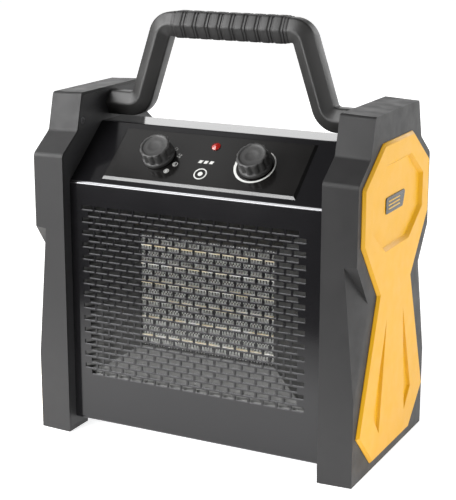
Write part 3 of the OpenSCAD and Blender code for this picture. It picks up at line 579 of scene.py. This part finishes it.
STEP_PLACES = ((-36.6, 49.0), (-30.1, 41.5), (-30.3, 31.1), (-35.9, 22.2))  # marks round the selector
OFF_R, OFF_W = 1.5, 0.8
STEP_R, STEP_W, STEP_SMOOTHNESS = 2.3, 0.7, 28
HALF_DISC_R, HALF_DISC_STEPS, DISC_R = 2.0, 18, 1.5
LEAVES, LEAF_R, LEAF_TURN = 4, 2.1, 20
LEAF = ((0, 0.25), (-0.25, 1.25), (0.25, 1.35), (0.75, 0.9))  # turn in radians, part of LEAF_R


def selector_marks():
    """Small ring, fan with four leaves, half disc in a ring, full disc in a ring."""
    place = on_slope(0, 0)
    off_mark, fan, half, full = STEP_PLACES
    form = Form()
    ring_mark(form, place, off_mark, OFF_R, OFF_W, 24)
    for k in range(LEAVES):
        a = math.radians(360 / LEAVES * k + LEAF_TURN)
        leaf = [
            (fan[0] + LEAF_R * far * math.cos(a + turn), fan[1] + LEAF_R * far * math.sin(a + turn))
            for turn, far in LEAF
        ]
        form.plate(leaf, *PRINT, place)
    ring_mark(form, place, half, STEP_R, STEP_W, STEP_SMOOTHNESS)
    turns = [math.radians(90 + 180 * i / HALF_DISC_STEPS) for i in range(HALF_DISC_STEPS + 1)]
    half_disc = [(half[0] + HALF_DISC_R * math.cos(t), half[1] + HALF_DISC_R * math.sin(t)) for t in turns]
    form.plate(half_disc, *PRINT, place)
    ring_mark(form, place, full, STEP_R, STEP_W, STEP_SMOOTHNESS)
    form.plate(circle(*full, DISC_R), *PRINT, place)
    piece("selector_marks", form.points, form.faces, "print_grey")


temperature_scale()
plain_marks()
selector_marks()

LAMP_X, LAMP_S, LAMP_FACETS = 2.5, 56.2, 24
LAMP_PROFILE = (  # radius, height above the control panel's face
    (3.8, -8.0 - PANEL_TOP), (3.8, 0.0), (4.4, 0.05), (4.4, 0.7),
    (4.1, 1.0), (3.3, 1.4), (2.0, 2.0), (0.8, 2.35),
)


def lamp():
    """Faceted dome of the indicator with its collar."""
    place = on_slope(LAMP_X, LAMP_S)
    form = Form()
    form.loft([
        [place((*p, PANEL_TOP + h)) for p in circle(0, 0, r, LAMP_FACETS)] for r, h in LAMP_PROFILE
    ])
    piece("lamp_dome", form.points, form.faces, "lamp_red", replaces=["lamp_lens"], sharp=30)


lamp()

# ---------------------------------------------------------------- heater behind the slots

FAN_Z, HEATER_W, HEATER_H, HEATER_Y = 145.5, 141.0, 110.0, (-54.0, -36.0)
BARS, BAR_H, WAVES, FOIL = 6, 3.1, 48, 0.5
BAR_PITCH = HEATER_H / BARS
FIN_H = (BAR_PITCH - BAR_H) / 2
WAVE = (  # one wave of the foil: place as a part of its length, height as a part of the gap
    (0.0, 0.0), (0.12, 0.0), (0.22, 0.12), (0.40, 0.88),
    (0.5, 1.0), (0.62, 1.0), (0.72, 0.88), (0.90, 0.12),
)


def fin_row(form, low):
    """One corrugated foil strip between two bars: round crests, steep flanks."""
    line = []
    for i in range(WAVES):
        for along, up in WAVE:
            x = (i + along) * HEATER_W / WAVES - HEATER_W / 2
            z = low + FOIL / 2 + up * (FIN_H - FOIL)
            line.append(Vector((x, z)))
    upper, lower = mitred(line, -FOIL / 2), mitred(line, FOIL / 2)
    front, back = HEATER_Y
    form.loft([
        [(u.x, front, u.y), (l.x, front, l.y), (l.x, back, l.y), (u.x, back, u.y)]
        for u, l in zip(upper, lower)
    ])


def fins():
    """Two strips of foil for each bar, one above and one below it."""
    form = Form()
    for i in range(BARS):
        bar = FAN_Z + (i - (BARS - 1) / 2) * BAR_PITCH
        fin_row(form, bar + BAR_H / 2)
        fin_row(form, bar - BAR_H / 2 - FIN_H)
    piece("corrugated_fins", form.points, form.faces, "fin_aluminium",
          replaces=["heater_fins"], sharp=25)


fins()

SLOT_W, SLOT_PITCH, SLOT_ROWS, SLOT_COLUMNS = 12.2, 14.2, 28, 16
ROW_PITCH, SLOT_LOW_Z, SLOT_SHIFT = 6.07, 61.1, -3.1
LIP = (  # section of a lip: distance in front of the middle, height from the slot's edge
    (81.06, -0.60), (80.66, 0.34), (80.2, 0.34), (80.2, -0.60),
)
LIP_END = 0.1  # how far a lip stays off each end of its slot


def slot_lips():
    """The punched lower edge of every slot, rolled over towards the front."""
    form = Form()
    for row in range(SLOT_ROWS):
        offset = SLOT_PITCH / 4 * (1 if row % 2 == 0 else -1) + SLOT_SHIFT
        z = SLOT_LOW_Z + row * ROW_PITCH
        for column in range(SLOT_COLUMNS):
            middle = offset + (column + 0.5 - SLOT_COLUMNS / 2) * SLOT_PITCH
            form.loft([
                [(middle + side * (SLOT_W / 2 - LIP_END), -y, z + up) for y, up in LIP]
                for side in (-1, 1)
            ])
    piece("slot_lips", form.points, form.faces, "slot_edge", sharp=20)


slot_lips()

# ---------------------------------------------------------------- badges

PLATE_X, BADGE_Z = 165.3, 246.0
BADGE_BARS, BADGE_BAR_PITCH, BADGE_BAR_H = 3, 3.4, 1.2
BADGE_BAR_Y = (-18.5, 10.5)
BADGE_BAR_X = (PLATE_X - 0.5, PLATE_X + 0.1)


def badge_bars(name, side):
    """Plain bars printed on the blank plate of a side panel."""
    form = Form()
    front, back = BADGE_BAR_Y
    for i in range(BADGE_BARS):
        low = BADGE_Z + BADGE_BAR_PITCH * (i - 1) - BADGE_BAR_H / 2
        high = low + BADGE_BAR_H
        ring = [(front, low), (back, low), (back, high), (front, high)]
        if side < 0:
            ring = ring[::-1]
        form.loft([[(side * x, y, z) for y, z in ring] for x in BADGE_BAR_X])
    piece(name, form.points, form.faces, "badge_print")


badge_bars("left_badge_bars", -1)
badge_bars("right_badge_bars", 1)

# ---------------------------------------------------------------- studio

FLOOR_FRONT, FLOOR_HALF = -0.44, 6.0  # front edge, and reach to the other three sides
FLOOR_Y = (-0.5, 2.5)  # stretch along Y over which the floor changes
FLOOR_PAINTED_SHADE = ((-0.44, 0.70), (-0.24, 0.94), (0.0, 0.94), (0.3, 0.60))  # place along Y, reflectance; painted shade, darker in front of the object and behind it
FLOOR_PAINTED_GLOW = (  # place along Y, emission; painted light glowing from the floor, strongest just in front of the object
    (-0.44, 0.0), (-0.24, 1.1), (0.0, 0.7), (0.3, 0.75), (0.9, 0.75), (2.2, 0.95),
)


def along_floor(shader, factor, stops):
    """Ramp of grey values over places along Y."""
    ramp = shader.node("ShaderNodeValToRGB")
    ramp.color_ramp.interpolation = "EASE"
    while len(ramp.color_ramp.elements) < len(stops):
        ramp.color_ramp.elements.new(0.5)
    for element, (y, value) in zip(ramp.color_ramp.elements, stops):
        element.position = (y - FLOOR_Y[0]) / (FLOOR_Y[1] - FLOOR_Y[0])
        element.color = (value, value, value, 1)
    shader.link(factor, ramp.inputs["Fac"])
    return ramp.outputs["Color"]


def studio_floor():
    """Pale table top with painted light glowing from it and painted shade along Y, that ends a little way
    in front of the object.
    """
    half = FLOOR_HALF
    corners = [(-half, FLOOR_FRONT, 0), (half, FLOOR_FRONT, 0), (half, half, 0), (-half, half, 0)]
    mesh = bpy.data.meshes.new("studio_floor")
    mesh.from_pydata(corners, [], [(0, 1, 2, 3)])
    floor = bpy.data.objects.new("studio_floor", mesh)
    bpy.context.scene.collection.objects.link(floor)
    s = Shader("studio_floor", 0.7)
    split = s.node("ShaderNodeSeparateXYZ")
    s.link(s.place, split.inputs["Vector"])
    place = s.node("ShaderNodeMapRange")
    for socket, value in zip(("From Min", "From Max"), FLOOR_Y):
        place.inputs[socket].default_value = value
    s.link(split.outputs["Y"], place.inputs["Value"])
    # painted shade in the reflectance and painted light in the emission, both along Y
    s.link(along_floor(s, place.outputs["Result"], FLOOR_PAINTED_SHADE), s.surface.inputs["Base Color"])
    s.link(along_floor(s, place.outputs["Result"], FLOOR_PAINTED_GLOW), s.surface.inputs["Emission Strength"])
    s.surface.inputs["Emission Color"].default_value = (1, 1, 1, 1)
    mesh.materials.append(s.material)


AIM = Vector((0, 0, 0.22))  # the point in the object that every light faces


def softbox(name, place, width, height, radiance):
    """White rectangular soft light of that radiance, aimed at the object."""
    light = bpy.data.lights.new(name, "AREA")
    light.shape = "RECTANGLE"
    light.size, light.size_y = width, height
    light.energy = radiance * math.pi * width * height
    lamp_object = bpy.data.objects.new(name, light)
    bpy.context.scene.collection.objects.link(lamp_object)
    lamp_object.location = place
    lamp_object.rotation_euler = (AIM - place).to_track_quat("-Z", "Y").to_euler()


ROOM_LIGHT = 0.08


def world_light():
    """Even room light."""
    world = bpy.data.worlds.new("studio")
    bpy.context.scene.world = world
    world.use_nodes = True
    room = world.node_tree.nodes["Background"]
    room.inputs["Color"].default_value = (1, 1, 1, 1)
    room.inputs["Strength"].default_value = ROOM_LIGHT


SOFTBOXES = (  # name, direction from the object, distance, width, height, radiance
    ("strip_left", (-0.49, -0.87, -0.04), 1.15, 0.58, 0.12, 16),
    ("side_left", (-0.85, -0.50, 0.36), 2.2, 1.1, 1.1, 7.6),
    ("top_left", (-0.80, 0.0, 0.70), 2.2, 1.1, 1.1, 1.5),
    ("back", (0.30, 0.95, 0.30), 2.2, 1.1, 1.1, 2.6),
    ("side_right", (1.0, 0.30, 0.35), 2.2, 1.1, 1.1, 6.1),
    ("front_right", (0.80, -0.60, 0.35), 2.2, 1.1, 1.1, 1.7),
)
ARCH = (  # name, the tilts of the faces that mirror it towards the camera, radiance
    ("arch_low", 11.0, 18.5, 4.6),
    ("arch_key", 18.5, 34.5, 5.4),
    ("arch_high", 34.5, 42.0, 5.6),
    ("arch_top", 56.0, 65.0, 0.7),
    ("arch_back", 84.0, 96.0, 1.7),
)
ARCH_REACH, ARCH_WIDTH = 2.2, 1.3
AZIMUTH, ELEVATION, ROLL = (math.radians(angle) for angle in (26.889, 14.969, 0.074))
TO_CAMERA = Vector((
    math.sin(AZIMUTH) * math.cos(ELEVATION),
    -math.cos(AZIMUTH) * math.cos(ELEVATION),
    math.sin(ELEVATION),
))
CAMERA_PLACE = Vector((0.5879, -1.1691, 0.5302))
LENS_MM, SENSOR_MM = 100.75, 36.0


def arch_light(name, low, high, radiance):
    """Soft light on an arch from front left over the top to the back."""
    tilt = math.radians((low + high) / 2)
    face = Vector((0, -math.cos(tilt), math.sin(tilt)))
    toward = 2 * face.dot(TO_CAMERA) * face - TO_CAMERA
    height = 2 * ARCH_REACH * math.tan(math.radians(high - low))
    softbox(name, AIM + toward * ARCH_REACH, ARCH_WIDTH, height, radiance)


def studio_camera():
    """Camera at the front right, a little above the object."""
    back = TO_CAMERA
    level = (-back).cross(Vector((0, 0, 1))).normalized()
    above = level.cross(-back)
    right = level * math.cos(ROLL) + above * math.sin(ROLL)
    up = above * math.cos(ROLL) - level * math.sin(ROLL)
    data = bpy.data.cameras.new("studio_camera")
    data.lens = LENS_MM
    data.sensor_width = SENSOR_MM
    camera = bpy.data.objects.new("studio_camera", data)
    bpy.context.scene.collection.objects.link(camera)
    camera.matrix_world = Matrix((
        (right.x, up.x, back.x, CAMERA_PLACE.x),
        (right.y, up.y, back.y, CAMERA_PLACE.y),
        (right.z, up.z, back.z, CAMERA_PLACE.z),
        (0, 0, 0, 1),
    ))
    bpy.context.scene.camera = camera


studio_floor()
world_light()
for name, toward, reach, width, height, radiance in SOFTBOXES:
    softbox(name, AIM + Vector(toward).normalized() * reach, width, height, radiance)
for name, low_tilt, high_tilt, radiance in ARCH:
    arch_light(name, low_tilt, high_tilt, radiance)
studio_camera()
bpy.context.scene.view_settings.view_transform = "Standard"
